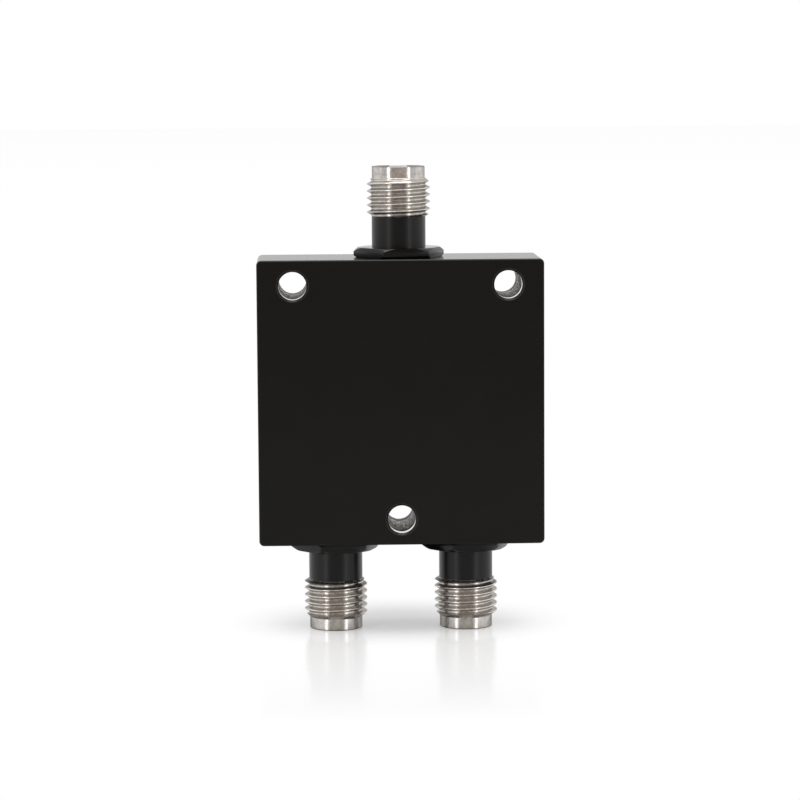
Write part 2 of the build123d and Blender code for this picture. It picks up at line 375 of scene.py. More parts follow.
def thread_blank(sizes):
    """Right-hand thread on a core, with a crest at height 0 above the +X side."""
    pitch = sizes.thread_pitch
    start = sizes.hex_height + sizes.barrel_length
    end = start + sizes.thread_length
    first_crest = (math.floor(start / pitch) - 1) * pitch
    turns = math.ceil((end - first_crest) / pitch) + 1
    outline = thread_outline(sizes)
    deselect_all()
    bpy.ops.mesh.primitive_plane_add(
        size=MILLIMETRE, location=(outline[0][0], 0, first_crest + outline[0][1])
    )
    thread = bpy.context.object
    thread.name = "thread"
    apply_place(thread)
    bpy.ops.object.mode_set(mode="EDIT")
    bpy.ops.mesh.select_all(action="SELECT")
    bpy.ops.mesh.merge(type="CENTER")
    for (radius, height), (next_radius, next_height) in zip(outline, outline[1:]):
        bpy.ops.mesh.extrude_vertices_move(
            TRANSFORM_OT_translate={"value": (next_radius - radius, 0, next_height - height)}
        )
    bpy.ops.object.mode_set(mode="OBJECT")
    winding = thread.modifiers.new("Winding", "SCREW")
    winding.axis = "Z"
    winding.screw_offset = pitch
    winding.iterations = turns
    winding.steps = THREAD_STEPS
    winding.render_steps = THREAD_STEPS
    bpy.ops.object.modifier_apply(modifier=winding.name)
    bpy.ops.object.mode_set(mode="EDIT")
    bpy.ops.mesh.select_all(action="SELECT")
    bpy.ops.mesh.remove_doubles(threshold=0.1 * MICRON)
    trim = 0.12 * MILLIMETRE
    for height, direction in ((start - trim, -1), (end + trim, 1)):
        bpy.ops.mesh.select_all(action="SELECT")
        bpy.ops.mesh.bisect(
            plane_co=(0, 0, height),
            plane_no=(0, 0, direction),
            use_fill=True,
            clear_outer=True,
            threshold=0.01 * MICRON,
        )
    bpy.ops.object.mode_set(mode="OBJECT")
    outward(thread)
    start_slope = (sizes.thread_radius - sizes.barrel_radius) / sizes.thread_start_slope
    end_slope = (sizes.thread_radius - sizes.nose_radius) / sizes.thread_end_slope
    inner = sizes.nose_radius - 0.2 * MILLIMETRE
    limits = turned(
        "thread_limits",
        [
            (inner, start - (sizes.barrel_radius - inner) / start_slope),
            (sizes.thread_radius, start + sizes.thread_start_slope),
            (sizes.thread_radius, end - sizes.thread_end_slope),
            (inner, end + (sizes.nose_radius - inner) / end_slope),
        ],
    )
    return combined(thread, limits, "INTERSECT")


def body_blank(sizes):
    """Spigot, barrel, core of the thread and nose, turned from one bar."""
    start = sizes.hex_height + sizes.barrel_length
    end = start + sizes.thread_length
    tip = end + sizes.nose_length
    core = sizes.nose_radius - 0.08 * MILLIMETRE
    overlap = 0.1 * MILLIMETRE
    support = 0.04 * MILLIMETRE
    return turned(
        "body",
        [
            (sizes.spigot_radius, -sizes.spigot_length),
            (sizes.spigot_radius, sizes.hex_height / 2),
            (sizes.barrel_radius, sizes.hex_height / 2),
            (sizes.barrel_radius, sizes.hex_height + support),
            (sizes.barrel_radius, start - support),
            (sizes.barrel_radius, start + overlap),
            (core, start + overlap),
            (core, end - overlap),
            (sizes.nose_radius, end - overlap),
            (sizes.nose_radius, end + support),
            (sizes.nose_radius, tip - sizes.nose_chamfer),
            (sizes.nose_radius - sizes.nose_chamfer, tip),
        ],
    )


def bore_cutter(sizes):
    """Stepped bore: the socket in front, the insulator's bore behind it."""
    tip = sizes.hex_height + sizes.barrel_length + sizes.thread_length + sizes.nose_length
    step = tip - sizes.socket_depth
    return turned(
        "bore",
        [
            (sizes.insulator_bore, -sizes.spigot_length - MILLIMETRE),
            (sizes.insulator_bore, step),
            (sizes.socket_radius, step),
            (sizes.socket_radius, tip - sizes.socket_chamfer),
            (sizes.socket_radius + 2 * sizes.socket_chamfer, tip + sizes.socket_chamfer),
        ],
    )


# Distance of a thread crest from the wall, on the connector's +X side, in each port
CREST_HEIGHT = {"input": 0.000612, "output_1": 0.000438, "output_2": 0.000400}

# How far from the wall the black paint reaches on each connector
PAINT_REACH = {"input": 0.00407, "output_1": 0.00431, "output_2": 0.00427}


def port_place(port):
    """Seat of a connector in its wall: (centre, True where it points down)."""
    low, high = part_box(f"{port}_shell")
    centre = (low + high) / 2
    points_down = centre.z < housing_low.z + (housing_high.z - housing_low.z) / 2
    seat = housing_low.z if points_down else housing_high.z
    return Vector((centre.x, centre.y, seat)), points_down


# ---------------------------------------------------------------- shader helpers


def put(tree, kind, inputs=None, **settings):
    """Add a shader node, set its fields, and fill its inputs with values or links."""
    node = tree.nodes.new(kind)
    for field, value in settings.items():
        setattr(node, field, value)
    for socket, value in (inputs or {}).items():
        if isinstance(value, bpy.types.NodeSocket):
            tree.links.new(value, node.inputs[socket])
        else:
            node.inputs[socket].default_value = value
    return node


def math_node(tree, operation, *values, clamp=False):
    """Output of a Math node on these values or links."""
    inputs = dict(enumerate(values))
    return put(tree, "ShaderNodeMath", inputs, operation=operation, use_clamp=clamp).outputs[0]


def blend(tree, factor, first, second):
    """Colour that goes from the first to the second with the factor."""
    node = put(tree, "ShaderNodeMix", data_type="RGBA")
    for socket, value in (("Factor_Float", factor), ("A_Color", first), ("B_Color", second)):
        target = next(s for s in node.inputs if s.identifier == socket)
        if isinstance(value, bpy.types.NodeSocket):
            tree.links.new(value, target)
        else:
            target.default_value = value if socket == "Factor_Float" else (*value, 1.0)
    return next(s for s in node.outputs if s.identifier == "Result_Color")


def spread(tree, value, low, high, out_low=0.0, out_high=1.0, smooth=True):
    """Map a value from one range to another, held at both ends."""
    node = put(
        tree,
        "ShaderNodeMapRange",
        {
            "Value": value,
            "From Min": low,
            "From Max": high,
            "To Min": out_low,
            "To Max": out_high,
        },
        interpolation_type="SMOOTHSTEP" if smooth else "LINEAR",
        clamp=True,
    )
    return node.outputs["Result"]


def new_group(name, inputs, outputs):
    """Empty shader node group with named inputs and outputs."""
    group = bpy.data.node_groups.new(name, "ShaderNodeTree")
    for socket, kind, default in inputs:
        made = group.interface.new_socket(socket, in_out="INPUT", socket_type=kind)
        if default is not None:
            made.default_value = default
    for socket, kind in outputs:
        group.interface.new_socket(socket, in_out="OUTPUT", socket_type=kind)
    return group, group.nodes.new("NodeGroupInput"), group.nodes.new("NodeGroupOutput")


VECTOR, FLOAT = "NodeSocketVector", "NodeSocketFloat"


def grain_group():
    """Fine grain: a noise of a given size and the bump that it makes."""
    group, given, result = new_group(
        "Fine Grain",
        [("Vector", VECTOR, None), ("Size", FLOAT, 0.0001), ("Depth", FLOAT, 0.000004)],
        [("Value", FLOAT), ("Normal", VECTOR)],
    )
    scale = math_node(group, "DIVIDE", 1.0, given.outputs["Size"])
    noise = put(
        group,
        "ShaderNodeTexNoise",
        {"Vector": given.outputs["Vector"], "Scale": scale, "Detail": 3.0, "Roughness": 0.6},
    )
    bump = put(
        group,
        "ShaderNodeBump",
        {"Strength": 1.0, "Distance": given.outputs["Depth"], "Height": noise.outputs["Fac"]},
    )
    group.links.new(noise.outputs["Fac"], result.inputs["Value"])
    group.links.new(bump.outputs["Normal"], result.inputs["Normal"])
    return group


def turning_group():
    """Turning marks: fine rings about the Z axis and the bump that they make."""
    group, given, result = new_group(
        "Turning Marks",
        [("Vector", VECTOR, None), ("Pitch", FLOAT, 0.00005), ("Depth", FLOAT, 0.000002)],
        [("Value", FLOAT), ("Streaks", FLOAT), ("Normal", VECTOR)],
    )
    split = put(group, "ShaderNodeSeparateXYZ", {0: given.outputs["Vector"]})
    across = put(group, "ShaderNodeCombineXYZ", {0: split.outputs["X"], 1: split.outputs["Y"]})
    radius = put(
        group, "ShaderNodeVectorMath", {0: across.outputs[0]}, operation="LENGTH"
    ).outputs["Value"]
    rings = put(group, "ShaderNodeCombineXYZ", {0: radius, 2: split.outputs["Z"]})
    scale = math_node(group, "DIVIDE", 1.0, given.outputs["Pitch"])
    marks = put(
        group,
        "ShaderNodeTexNoise",
        {"Vector": rings.outputs[0], "Scale": scale, "Detail": 2.0, "Roughness": 0.7},
    )
    coarse = math_node(group, "DIVIDE", 0.12, given.outputs["Pitch"])
    streaks = put(
        group,
        "ShaderNodeTexNoise",
        {"Vector": given.outputs["Vector"], "Scale": coarse, "Detail": 4.0, "Roughness": 0.65},
    )
    bump = put(
        group,
        "ShaderNodeBump",
        {"Strength": 1.0, "Distance": given.outputs["Depth"], "Height": marks.outputs["Fac"]},
    )
    group.links.new(marks.outputs["Fac"], result.inputs["Value"])
    group.links.new(streaks.outputs["Fac"], result.inputs["Streaks"])
    group.links.new(bump.outputs["Normal"], result.inputs["Normal"])
    return group


def specks_group():
    """Sparse small specks, such as dust or nicks."""
    group, given, result = new_group(
        "Specks",
        [("Vector", VECTOR, None), ("Spacing", FLOAT, 0.002), ("Size", FLOAT, 0.03), ("Share", FLOAT, 0.2)],
        [("Mask", FLOAT)],
    )
    scale = math_node(group, "DIVIDE", 1.0, given.outputs["Spacing"])
    cells = put(
        group, "ShaderNodeTexVoronoi", {"Vector": given.outputs["Vector"], "Scale": scale}
    )
    near = math_node(group, "LESS_THAN", cells.outputs["Distance"], given.outputs["Size"])
    pick_colour = put(group, "ShaderNodeSeparateColor", {0: cells.outputs["Color"]})
    chosen = math_node(group, "LESS_THAN", pick_colour.outputs[0], given.outputs["Share"])
    group.links.new(math_node(group, "MULTIPLY", near, chosen), result.inputs["Mask"])
    return group


def hole_group():
    """Distance of a point from the axis of a hole that runs along Y."""
    group, given, result = new_group(
        "Hole Distance",
        [("Vector", VECTOR, None), ("Centre", VECTOR, None)],
        [("Distance", FLOAT)],
    )
    offset = put(
        group,
        "ShaderNodeVectorMath",
        {0: given.outputs["Vector"], 1: given.outputs["Centre"]},
        operation="SUBTRACT",
    )
    flat = put(
        group,
        "ShaderNodeVectorMath",
        {0: offset.outputs[0], 1: (1.0, 0.0, 1.0)},
        operation="MULTIPLY",
    )
    away = put(group, "ShaderNodeVectorMath", {0: flat.outputs[0]}, operation="LENGTH")
    group.links.new(away.outputs["Value"], result.inputs["Distance"])
    return group


def shared_group(make, name):
    """Node group by name, made the first time it is asked for."""
    return bpy.data.node_groups.get(name) or make()


def effect(tree, make, name, inputs):
    """Place a shared node group in a material."""
    node = tree.nodes.new("ShaderNodeGroup")
    node.node_tree = shared_group(make, name)
    for socket, value in inputs.items():
        if isinstance(value, bpy.types.NodeSocket):
            tree.links.new(value, node.inputs[socket])
        else:
            node.inputs[socket].default_value = value
    return node.outputs


def grain(tree, vector, size, depth):
    """Fine grain of a given size and depth."""
    return effect(tree, grain_group, "Fine Grain", {"Vector": vector, "Size": size, "Depth": depth})


def turning(tree, vector, pitch, depth):
    """Turning marks of a given pitch and depth."""
    return effect(
        tree, turning_group, "Turning Marks", {"Vector": vector, "Pitch": pitch, "Depth": depth}
    )


def specks(tree, vector, spacing, size, share_of):
    """Sparse specks."""
    return effect(
        tree,
        specks_group,
        "Specks",
        {"Vector": vector, "Spacing": spacing, "Size": size, "Share": share_of},
    )["Mask"]


def new_material(name, **constants):
    """Material with a Principled BSDF, its object coordinates and its plain values set."""
    made = bpy.data.materials.new(name)
    made.use_nodes = True
    tree = made.node_tree
    shader = tree.nodes["Principled BSDF"]
    for socket, value in constants.items():
        shader.inputs[socket.replace("_", " ")].default_value = value
    place = tree.nodes.new("ShaderNodeTexCoord").outputs["Object"]
    return made, tree, shader, place


def feed(tree, shader, **sources):
    """Link values that change over the surface to the shader."""
    for socket, source in sources.items():
        tree.links.new(source, shader.inputs[socket.replace("_", " ")])


def wear_finish(node_name, finish):
    """Give a CAD node its finish."""
    piece = frame["nodes"][node_name]
    piece.data.materials.clear()
    piece.data.materials.append(finish)


# ---------------------------------------------------------------- finishes


def housing_paint(look):
    """Matt black paint with bare metal in the mounting holes, a painted highlight on the ring round each hole
    and painted shadow lines inside it.
    """
    made, tree, shader, place = new_material(
        "Matt Black Paint", Specular_IOR_Level=0.26, Diffuse_Roughness=0.4
    )
    holes = [
        mount for mount in frame["record"]["mounts"] if mount["name"].startswith("mounting_hole")
    ]
    nearest = None
    for mount in holes:
        distance = effect(
            tree, hole_group, "Hole Distance", {"Vector": place, "Centre": mount["pos_m"]}
        )["Distance"]
        nearest = distance if nearest is None else math_node(tree, "MINIMUM", nearest, distance)
    hole_radius = holes[0]["dims"]["r_mm"] * MILLIMETRE
    fine = grain(tree, place, look.paint_grain, 0.000003)
    cloud = put(
        tree, "ShaderNodeTexNoise", {"Vector": place, "Scale": 260.0, "Detail": 4.0}
    ).outputs["Fac"]
    depth = math_node(
        tree,
        "SUBTRACT",
        put(tree, "ShaderNodeSeparateXYZ", {0: place}).outputs["Y"],
        housing_low.y,
    )
    bare = math_node(
        tree,
        "MULTIPLY",
        spread(tree, nearest, hole_radius + 12 * MICRON, hole_radius + 4 * MICRON),
        spread(tree, depth, 0.00035, 0.00045),
    )
    # Painted highlight: a thin light ring round each hole, broken up by the grain.
    rim_in = spread(tree, nearest, hole_radius + 0.00015, hole_radius + 0.00018)
    rim_out = spread(tree, nearest, hole_radius + 0.00023, hole_radius + 0.00019)
    broken = spread(tree, fine["Value"], 0.35, 0.6, 0.25, 1.0)
    rim = math_node(tree, "MULTIPLY", math_node(tree, "MULTIPLY", rim_in, rim_out), broken)
    dust = specks(tree, place, 0.0032, 0.012, 0.3)
    shade = blend(
        tree,
        spread(tree, cloud, 0.3, 0.7),
        tuple(0.88 * c for c in look.paint),
        tuple(1.12 * c for c in look.paint),
    )
    shade = blend(tree, rim, shade, look.rim_highlight_and_dust_grey)
    shade = blend(tree, dust, shade, tuple(2.2 * c for c in look.rim_highlight_and_dust_grey))
    along = put(tree, "ShaderNodeMapping", {"Vector": place, "Scale": (1.0, 0.16, 1.0)}).outputs[0]
    drilled = grain(tree, along, 0.00022, 0.000012)
    back = housing_high.y - housing_low.y
    # A polished ring at the front of each hole; its lighter colour is also a painted highlight of the front
    # edge.
    polished = spread(tree, depth, 0.00135, 0.00125)
    # Painted shadow lines darken the hole's wall: one near the back face, one behind the polished ring.
    far_line = math_node(
        tree,
        "MULTIPLY",
        spread(tree, depth, back - 0.0018, back - 0.0014),
        spread(tree, depth, back - 0.0002, back - 0.0004),
    )
    ring_shadow = math_node(
        tree,
        "MULTIPLY",
        spread(tree, depth, 0.00130, 0.00140),
        spread(tree, depth, 0.0026, 0.0022),
    )
    metal = blend(
        tree,
        spread(tree, drilled["Value"], 0.40, 0.60),
        tuple(0.28 * c for c in look.bare_metal),
        look.bare_metal,
    )
    shadow_line = math_node(tree, "MAXIMUM", ring_shadow, far_line)
    metal = blend(tree, shadow_line, metal, tuple(0.08 * c for c in look.bare_metal))
    metal = blend(tree, polished, metal, look.polish_and_crest_highlight)
    metallic = math_node(tree, "MULTIPLY", bare, spread(tree, polished, 0.0, 1.0, 0.8, 1.0))
    bump = put(
        tree,
        "ShaderNodeMix",
        {"Factor": bare},
        data_type="VECTOR",
    )
    tree.links.new(fine["Normal"], next(s for s in bump.inputs if s.identifier == "A_Vector"))
    tree.links.new(drilled["Normal"], next(s for s in bump.inputs if s.identifier == "B_Vector"))
    roughness = spread(tree, fine["Value"], 0.2, 0.8, look.paint_roughness - 0.05, look.paint_roughness + 0.05)
    wall_rough = spread(tree, polished, 0.0, 1.0, 0.60, 0.20)
    roughness = put(
        tree, "ShaderNodeMix", {"Factor": bare, "A": roughness, "B": wall_rough}
    ).outputs[0]
    feed(
        tree,
        shader,
        Base_Color=blend(tree, bare, shade, metal),
        Metallic=metallic,
        Roughness=roughness,
        Normal=next(s for s in bump.outputs if s.identifier == "Result_Vector"),
    )
    return made


def port_vector(tree, place, port):
    """Coordinates of a connector: Z is the distance out from the wall that it sits on."""
    seat, points_down = port_place(port)
    mapping = put(
        tree,
        "ShaderNodeMapping",
        {
            "Vector": place,
            "Location": (-seat.x, seat.y, seat.z) if points_down else tuple(-seat),
            "Rotation": (math.pi if points_down else 0.0, 0.0, 0.0),
        },
    ).outputs[0]
    return mapping, put(tree, "ShaderNodeSeparateXYZ", {0: mapping}).outputs["Z"]


def connector_paint(port, sizes, look):
    """Smooth black paint of a hexagon and its barrel."""
    made, tree, shader, place = new_material(f"Smooth Black Paint {port}", Specular_IOR_Level=0.32)
    vector, out = port_vector(tree, place, port)
    fine = grain(tree, vector, 0.00008, 0.0000015)
    on_barrel = spread(tree, out, sizes.hex_height + 20 * MICRON, sizes.hex_height + 50 * MICRON)
    base = spread(tree, on_barrel, 0.0, 1.0, look.hexagon_roughness, look.satin_roughness)
    rough = math_node(tree, "ADD", base, spread(tree, fine["Value"], 0.2, 0.8, -0.03, 0.03))
    dust = specks(tree, vector, 0.0019, 0.010, 0.25)
    feed(
        tree,
        shader,
        Base_Color=blend(tree, dust, look.satin, tuple(2 * c for c in look.rim_highlight_and_dust_grey)),
        Roughness=rough,
        Normal=fine["Normal"],
    )
    return made


def connector_metal(port, sizes, look):
    """Turned stainless steel, with the black paint of the barrel on the start of the thread, a painted
    highlight on the crests and painted shade in the grooves and on the nose's rim.
    """
    made, tree, shader, place = new_material(
        f"Painted Steel {port}",
        Anisotropic=0.5,
        Anisotropic_Rotation=0.25,
        Specular_IOR_Level=0.36,
        Specular_Tint=(*look.steel_edge, 1.0),
    )
    mapping, out = port_vector(tree, place, port)
    marks = turning(tree, mapping, 0.00006, 0.0000016)
    fine = grain(tree, mapping, 0.00008, 0.0000015)
    ragged = put(
        tree,
        "ShaderNodeTexNoise",
        {"Vector": mapping, "Scale": 2600.0, "Detail": 3.0, "Roughness": 0.7},
    ).outputs["Fac"]
    reach = math_node(
        tree,
        "ADD",
        out,
        spread(tree, ragged, 0.25, 0.75, -0.00006, 0.00002, smooth=False),
    )
    steel = spread(tree, reach, PAINT_REACH[port] - 0.00001, PAINT_REACH[port] + 0.00001)
    paint_rough = spread(
        tree, fine["Value"], 0.2, 0.8, look.satin_roughness - 0.03, look.satin_roughness + 0.03
    )
    steel_rough = spread(
        tree, marks["Value"], 0.3, 0.7, look.steel_roughness - 0.04, look.steel_roughness + 0.06
    )
    rough = put(tree, "ShaderNodeMix", {"Factor": steel, "A": paint_rough, "B": steel_rough})
    steel_colour = blend(tree, spread(tree, marks["Streaks"], 0.35, 0.75), look.steel, look.steel_streak_and_groove_shade)
    flat = put(tree, "ShaderNodeVectorMath", {0: mapping, 1: (1.0, 1.0, 0.0)}, operation="MULTIPLY")
    radius = put(
        tree, "ShaderNodeVectorMath", {0: flat.outputs[0]}, operation="LENGTH"
    ).outputs["Value"]
    thread_end = sizes.hex_height + sizes.barrel_length + sizes.thread_length
    on_thread = spread(tree, out, thread_end + 0.00003, thread_end - 0.00003)
    # Painted shade: the thread's flanks and grooves are darkened.
    below_crest = spread(tree, radius, sizes.thread_radius - 0.00002, sizes.thread_radius - 0.00009)
    above_root = spread(tree, radius, sizes.thread_radius - 0.00042, sizes.thread_radius - 0.00032)
    flank = math_node(tree, "MULTIPLY", below_crest, above_root)
    flank = math_node(tree, "MULTIPLY", flank, on_thread)
    # Painted highlight: the crests are lightened towards a bright metal colour.
    crest = spread(
        tree, radius, sizes.thread_radius - 0.00009, sizes.thread_radius - 0.00003, 0.0, 0.5
    )
    steel_colour = blend(tree, crest, steel_colour, look.polish_and_crest_highlight)
    # The painted shade is deepest in the groove next to the paint.
    beside_paint = spread(tree, out, PAINT_REACH[port] + 0.0007, PAINT_REACH[port] + 0.00045)
    flank_colour = blend(
        tree,
        beside_paint,
        tuple(0.96 * c for c in look.steel_streak_and_groove_shade),
        tuple(0.35 * c for c in look.steel_streak_and_groove_shade),
    )
    steel_colour = blend(tree, flank, steel_colour, flank_colour)
    tip = thread_end + sizes.nose_length
    # Painted shade: a dark band on the rim at the nose's tip.
    rim = spread(tree, out, tip - 0.00011, tip - 0.00008)
    steel_colour = blend(tree, rim, steel_colour, tuple(0.45 * c for c in look.steel))
    thread_start = sizes.hex_height + sizes.barrel_length
    outermost = spread(
        tree,
        out,
        thread_start,
        thread_start + sizes.thread_start_slope,
        sizes.barrel_radius,
        sizes.thread_radius,
        smooth=False,
    )
    edge = spread(tree, math_node(tree, "SUBTRACT", outermost, radius), 0.00010, 0.00006)
    chips = put(
        tree, "ShaderNodeTexNoise", {"Vector": mapping, "Scale": 6000.0, "Detail": 2.0}
    ).outputs["Fac"]
    worn = math_node(tree, "MULTIPLY", spread(tree, chips, 0.44, 0.54), edge)
    steel = math_node(tree, "MAXIMUM", steel, math_node(tree, "MULTIPLY", worn, 0.8))
    normal = put(tree, "ShaderNodeMix", {"Factor": steel}, data_type="VECTOR")
    tree.links.new(fine["Normal"], next(s for s in normal.inputs if s.identifier == "A_Vector"))
    tree.links.new(marks["Normal"], next(s for s in normal.inputs if s.identifier == "B_Vector"))
    tangent = put(tree, "ShaderNodeTangent", direction_type="RADIAL", axis="Z")
    feed(
        tree,
        shader,
        Base_Color=blend(tree, steel, look.satin, steel_colour),
        Metallic=math_node(tree, "MULTIPLY", steel, spread(tree, flank, 0.0, 1.0, 1.0, 0.8)),
        Roughness=rough.outputs[0],
        Normal=next(s for s in normal.outputs if s.identifier == "Result_Vector"),
        Tangent=tangent.outputs[0],
    )
    return made


def screw_steel(look):
    """Stainless steel of the screws, with fine grain."""
    made, tree, shader, place = new_material("Screw Steel", Metallic=1.0)
    fine = grain(tree, place, 0.00007, 0.000003)
    feed(
        tree,
        shader,
        Base_Color=blend(
            tree, spread(tree, fine["Value"], 0.3, 0.7), tuple(0.8 * c for c in look.screw), look.screw
        ),
        Roughness=spread(tree, fine["Value"], 0.25, 0.75, 0.26, 0.38),
        Normal=fine["Normal"],
    )
    return made


def contact_gold(port, look):
    """Gold plating with fine turning marks about the connector's axis."""
    made, tree, shader, place = new_material(f"Contact Gold {port}", Metallic=1.0)
    seat, _ = port_place(port)
    centred = put(
        tree, "ShaderNodeMapping", {"Vector": place, "Location": (-seat.x, -seat.y, 0.0)}
    ).outputs[0]
    marks = turning(tree, centred, 0.00004, 0.000001)
    feed(
        tree,
        shader,
        Base_Color=blend(
            tree, spread(tree, marks["Streaks"], 0.3, 0.7), look.gold, tuple(0.82 * c for c in look.gold)
        ),
        Roughness=spread(tree, marks["Value"], 0.3, 0.7, 0.16, 0.26),
        Normal=marks["Normal"],
    )
    return made


def insulator_plastic(look):
    """White plastic, slightly waxy, with faint turning marks."""
    made, tree, shader, place = new_material(
        "Insulator Plastic", Specular_IOR_Level=0.35, Subsurface_Weight=0.15, Subsurface_Scale=0.0004
    )
    fine = grain(tree, place, 0.00015, 0.000004)
    feed(
        tree,
        shader,
        Base_Color=blend(
            tree,
            spread(tree, fine["Value"], 0.3, 0.7),
            tuple(0.94 * c for c in look.insulator),
            look.insulator,
        ),
        Roughness=spread(tree, fine["Value"], 0.3, 0.7, 0.38, 0.5),
        Normal=fine["Normal"],
    )
    return made


def board_laminate(look):
    """Board with the weave of its glass cloth showing."""
    made, tree, shader, place = new_material("Board Laminate", Specular_IOR_Level=0.4)
    wave_x = put(
        tree,
        "ShaderNodeTexWave",
        {"Vector": place, "Scale": 650.0, "Distortion": 0.6},
        bands_direction="X",
    ).outputs["Fac"]
    wave_z = put(
        tree,
        "ShaderNodeTexWave",
        {"Vector": place, "Scale": 650.0, "Distortion": 0.6},
        bands_direction="Z",
    ).outputs["Fac"]
    weave = math_node(tree, "MAXIMUM", wave_x, wave_z)
    bump = put(tree, "ShaderNodeBump", {"Distance": 0.00001, "Height": weave})
    feed(
        tree,
        shader,
        Base_Color=blend(tree, weave, look.laminate, look.laminate_thread),
        Roughness=spread(tree, weave, 0.0, 1.0, 0.62, 0.48),
        Normal=bump.outputs[0],
    )
    return made


def trace_copper(look):
    """Copper pattern, brushed and slightly darkened."""
    made, tree, shader, place = new_material("Trace Copper", Metallic=1.0)
    stretched = put(
        tree, "ShaderNodeMapping", {"Vector": place, "Scale": (1.0, 1.0, 12.0)}
    ).outputs[0]
    brushed = grain(tree, stretched, 0.0004, 0.000002)
    dull = put(tree, "ShaderNodeTexNoise", {"Vector": place, "Scale": 500.0, "Detail": 5.0})
    feed(
        tree,
        shader,
        Base_Color=blend(tree, spread(tree, dull.outputs["Fac"], 0.4, 0.7), look.copper, look.copper_dull),
        Roughness=spread(tree, dull.outputs["Fac"], 0.3, 0.7, 0.25, 0.42),
        Normal=brushed["Normal"],
    )
    return made


def resistor_glaze(look):
    """Dark glaze between two tinned ends."""
    made, tree, shader, place = new_material("Chip Resistor", Specular_IOR_Level=0.5)
    low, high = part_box("isolation_resistor_1")
    across = math_node(tree, "ABSOLUTE", put(tree, "ShaderNodeSeparateXYZ", {0: place}).outputs["X"])
    edge = 0.62 * high.x
    tinned = spread(tree, across, edge - 8 * MICRON, edge + 8 * MICRON)
    fine = grain(tree, place, 0.00005, 0.000003)
    feed(
        tree,
        shader,
        Base_Color=blend(tree, tinned, look.resistor, look.solder),
        Metallic=tinned,
        Roughness=spread(tree, fine["Value"], 0.3, 0.7, 0.28, 0.42),
        Normal=fine["Normal"],
    )
    return made


def absorber_rubber(look):
    """Dark rubber sheet with open pores."""
    made, tree, shader, place = new_material("Absorber Rubber", Specular_IOR_Level=0.25)
    pores = put(tree, "ShaderNodeTexVoronoi", {"Vector": place, "Scale": 3200.0}).outputs["Distance"]
    # Painted shade: the pores are darker, as shade in the hollows.
    pit = spread(tree, pores, 0.1, 0.45)
    bump = put(tree, "ShaderNodeBump", {"Distance": 0.00005, "Height": pit})
    feed(
        tree,
        shader,
        Base_Color=blend(tree, pit, tuple(0.4 * c for c in look.absorber), look.absorber),
        Roughness=spread(tree, pit, 0.0, 1.0, 0.95, 0.75),
        Normal=bump.outputs[0],
    )
    return made


# ---------------------------------------------------------------- operators


class DIVIDER_OT_housing(bpy.types.Operator):
    """Paint the housing and its back cover"""

    bl_idname = "divider.housing"
    bl_label = "Housing and Cover"

    def execute(self, context):
        paint = housing_paint(context.scene.divider_finish)
        wear_finish("housing", paint)
        wear_finish("back_cover", paint)
        return {"FINISHED"}


class DIVIDER_OT_connectors(bpy.types.Operator):
    """Model the three threaded connector bodies in place of their plain solids"""

    bl_idname = "divider.connectors"
    bl_label = "Connector Bodies"

    def execute(self, context):
        sizes = context.scene.divider_connector
        look = context.scene.divider_finish
        hexagon = hexagon_blank(sizes)
        thread = thread_blank(sizes)
        body = body_blank(sizes)
        bore = bore_cutter(sizes)
        for port in PORTS:
            seat, points_down = port_place(port)
            hex_turn = -sizes.output_turn if points_down else sizes.input_turn
            thread_turn = -math.tau * CREST_HEIGHT[port] / sizes.thread_pitch
            shell = copied(body, f"{port}_threaded_shell")
            combined(shell, copied(thread, "port_thread", thread_turn), "UNION")
            combined(shell, copied(hexagon, "port_hexagon", hex_turn), "UNION")
            combined(shell, copied(bore, "port_bore"), "DIFFERENCE")
            shell.data.materials.clear()
            shell.data.materials.append(connector_metal(port, sizes, look))
            shell.data.materials.append(connector_paint(port, sizes, look))
            barrel_end = sizes.hex_height + sizes.barrel_length
            for face in shell.data.polygons:
                face.material_index = 1 if face.center.z < barrel_end else 0
            shell.rotation_euler = (math.pi if points_down else 0.0, 0.0, 0.0)
            shell.location = seat
            apply_place(shell)
            outward(shell)
            smooth_shaded(shell)
            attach(shell, "root")
            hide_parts(f"{port}_shell")
        for blank in (hexagon, thread, body, bore):
            bpy.data.objects.remove(blank)
        return {"FINISHED"}


class DIVIDER_OT_sockets(bpy.types.Operator):
    """Finish the insulators and the gold-plated centre contacts"""

    bl_idname = "divider.sockets"
    bl_label = "Insulators and Contacts"

    def execute(self, context):
        look = context.scene.divider_finish
        plastic = insulator_plastic(look)
        for port in PORTS:
            wear_finish(f"{port}_insulator", plastic)
            wear_finish(f"{port}_contact", contact_gold(port, look))
        return {"FINISHED"}


class DIVIDER_OT_screws(bpy.types.Operator):
    """Finish the screws of the cover and of the board"""

    bl_idname = "divider.screws"
    bl_label = "Screws"

    def execute(self, context):
        steel = screw_steel(context.scene.divider_finish)
        for name in frame["nodes"]:
            if "_screw_" in name:
                wear_finish(name, steel)
        return {"FINISHED"}


class DIVIDER_OT_circuit(bpy.types.Operator):
    """Finish the board, its copper, the resistors and the absorber inside the housing"""

    bl_idname = "divider.circuit"
    bl_label = "Circuit"

    def execute(self, context):
        look = context.scene.divider_finish
        wear_finish("circuit_board", board_laminate(look))
        wear_finish("divider_trace", trace_copper(look))
        wear_finish("absorber_pad", absorber_rubber(look))
        glaze = resistor_glaze(look)
        for name in frame["nodes"]:
            if name.startswith("isolation_resistor"):
                wear_finish(name, glaze)
        return {"FINISHED"}


